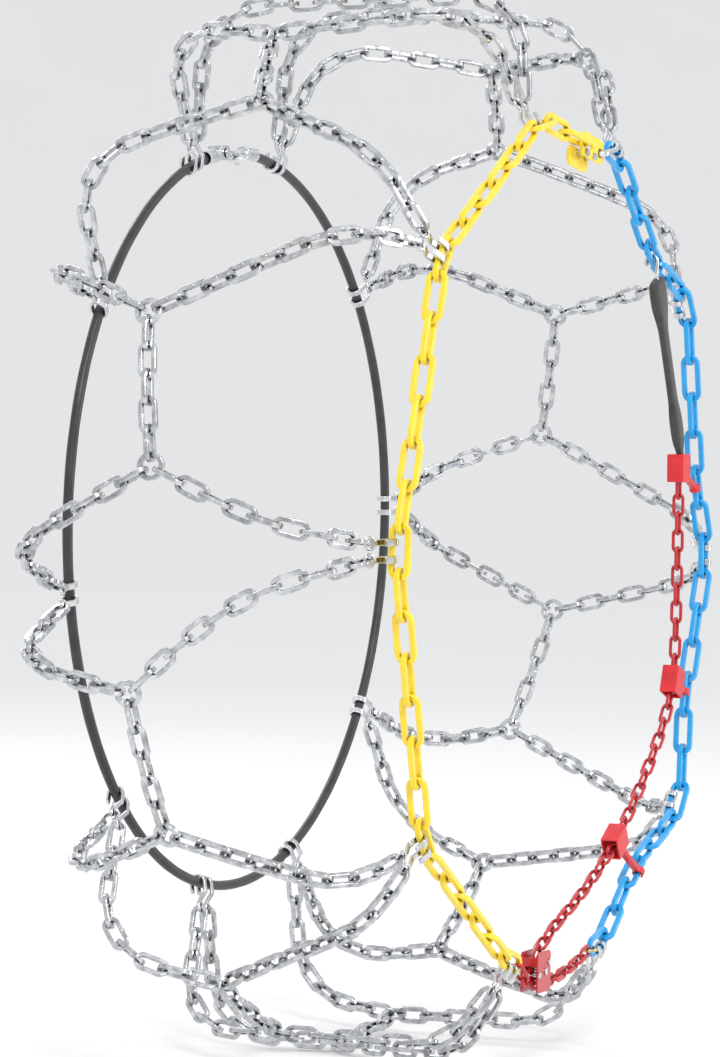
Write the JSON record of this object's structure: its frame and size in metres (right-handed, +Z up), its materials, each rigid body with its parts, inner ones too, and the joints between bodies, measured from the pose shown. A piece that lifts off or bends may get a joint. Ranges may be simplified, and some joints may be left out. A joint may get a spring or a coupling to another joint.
{
  "type": "tire snow chains",
  "caption": "Diamond-pattern snow chain for one car tyre, as fitted: tread net, coloured side chain, inner cable hoop, self-locking tensioner and rubber strap.",
  "frame": {"origin": "centre of the wheel that the chain is fitted to, in the middle plane of the tyre", "axes": "+Y along the axle towards the inner side of the wheel, so the coloured side chain faces -Y; +Z up; +X across, towards the side of the rubber strap"},
  "size_m": [0.744, 0.2745, 0.7446],
  "materials": {
    "net_steel": "bright zinc over drawn and welded wire",
    "bright_steel": "bright zinc, pressed and bent",
    "yellow_paint": "gloss powder paint",
    "blue_paint": "gloss powder paint",
    "red_paint": "gloss powder paint",
    "red_plastic": "satin moulded plastic",
    "cable_coat": "smooth plastic coat over steel cable",
    "brass_plate": "yellow passivated",
    "rubber": "matt moulded rubber"
  },
  "bodies": {
    "chain": {"side_chain_yellow": "yellow_paint", "closure_plate_front": "yellow_paint", "closure_plate_rear": "yellow_paint", "side_chain_blue": "blue_paint", "lock_housing": "red_paint", "lock_tie_links": "red_paint", "tension_chain_run": "red_paint", "tension_chain_lead": "red_paint", "net_rings": "net_steel", "net_connectors": "net_steel", "outer_legs_01": "net_steel", "outer_legs_02": "net_steel", "outer_legs_03": "net_steel", "outer_legs_04": "net_steel", "outer_legs_05": "net_steel", "outer_legs_06": "net_steel", "outer_legs_07": "net_steel", "outer_legs_08": "net_steel", "outer_legs_09": "net_steel", "outer_legs_10": "net_steel", "inner_legs_01": "net_steel", "inner_legs_02": "net_steel", "inner_legs_03": "net_steel", "inner_legs_04": "net_steel", "inner_legs_05": "net_steel", "inner_legs_06": "net_steel", "inner_legs_07": "net_steel", "inner_legs_08": "net_steel", "inner_legs_09": "net_steel", "inner_legs_10": "net_steel", "outer_leg_hooks": "bright_steel", "inner_leg_hooks": "bright_steel", "hoop_eye": "bright_steel", "hoop_clevis": "bright_steel", "hoop_pin": "bright_steel", "closure_rivets": "bright_steel", "lock_axle": "bright_steel", "lock_tie_pin": "bright_steel", "lock_pawl_pin": "bright_steel", "lock_spring": "bright_steel", "tensioner_hook": "bright_steel", "hoop_cable": "cable_coat", "lead_ring": "brass_plate", "rubber_tensioner": "rubber"},
    "lock_roller": {"lock_roller": "bright_steel"},
    "lock_pawl": {"lock_pawl": "red_paint"},
    "closure_hook": {"closure_hook": "bright_steel"},
    "hoop_hook": {"hoop_hook": "bright_steel"},
    "guide_clip_lower": {"guide_clip_lower": "red_plastic"},
    "guide_clip_middle": {"guide_clip_middle": "red_plastic"},
    "guide_clip_upper": {"guide_clip_upper": "red_plastic"}
  },
  "joints": [
    {"name": "lock_roller_spin", "type": "hinge", "parent": "chain", "child": "lock_roller", "pos_m": [-0.047, -0.1315, -0.302], "axis": [0, 1, 0], "continuous": true},
    {"name": "lock_pawl_release", "type": "hinge", "parent": "chain", "child": "lock_pawl", "pos_m": [-0.0407, -0.1315, -0.296], "axis": [0, 1, 0], "range_deg": [0, 20], "stiffness_Nm_per_rad": 0.02, "springref_deg": -17.19},
    {"name": "closure_hook_swing", "type": "hinge", "parent": "chain", "child": "closure_hook", "pos_m": [0.03089, -0.13764, 0.26119], "axis": [0.1587, 0, -0.9873], "range_deg": [0, 100]},
    {"name": "hoop_hook_swing", "type": "hinge", "parent": "chain", "child": "hoop_hook", "pos_m": [-0.04475, 0.121, 0.25909], "axis": [0, -1, 0], "range_deg": [0, 60]},
    {"name": "guide_clip_lower_rock", "type": "hinge", "parent": "chain", "child": "guide_clip_lower", "pos_m": [0.14674, -0.1354, -0.25091], "axis": [0, 1, 0], "range_deg": [-3, 3]},
    {"name": "guide_clip_middle_rock", "type": "hinge", "parent": "chain", "child": "guide_clip_middle", "pos_m": [0.25662, -0.13, -0.12418], "axis": [0, 1, 0], "range_deg": [-3, 3]},
    {"name": "guide_clip_upper_rock", "type": "hinge", "parent": "chain", "child": "guide_clip_upper", "pos_m": [0.2725, -0.13, 0.02965], "axis": [0, 1, 0], "range_deg": [-3, 1]}
  ]
}
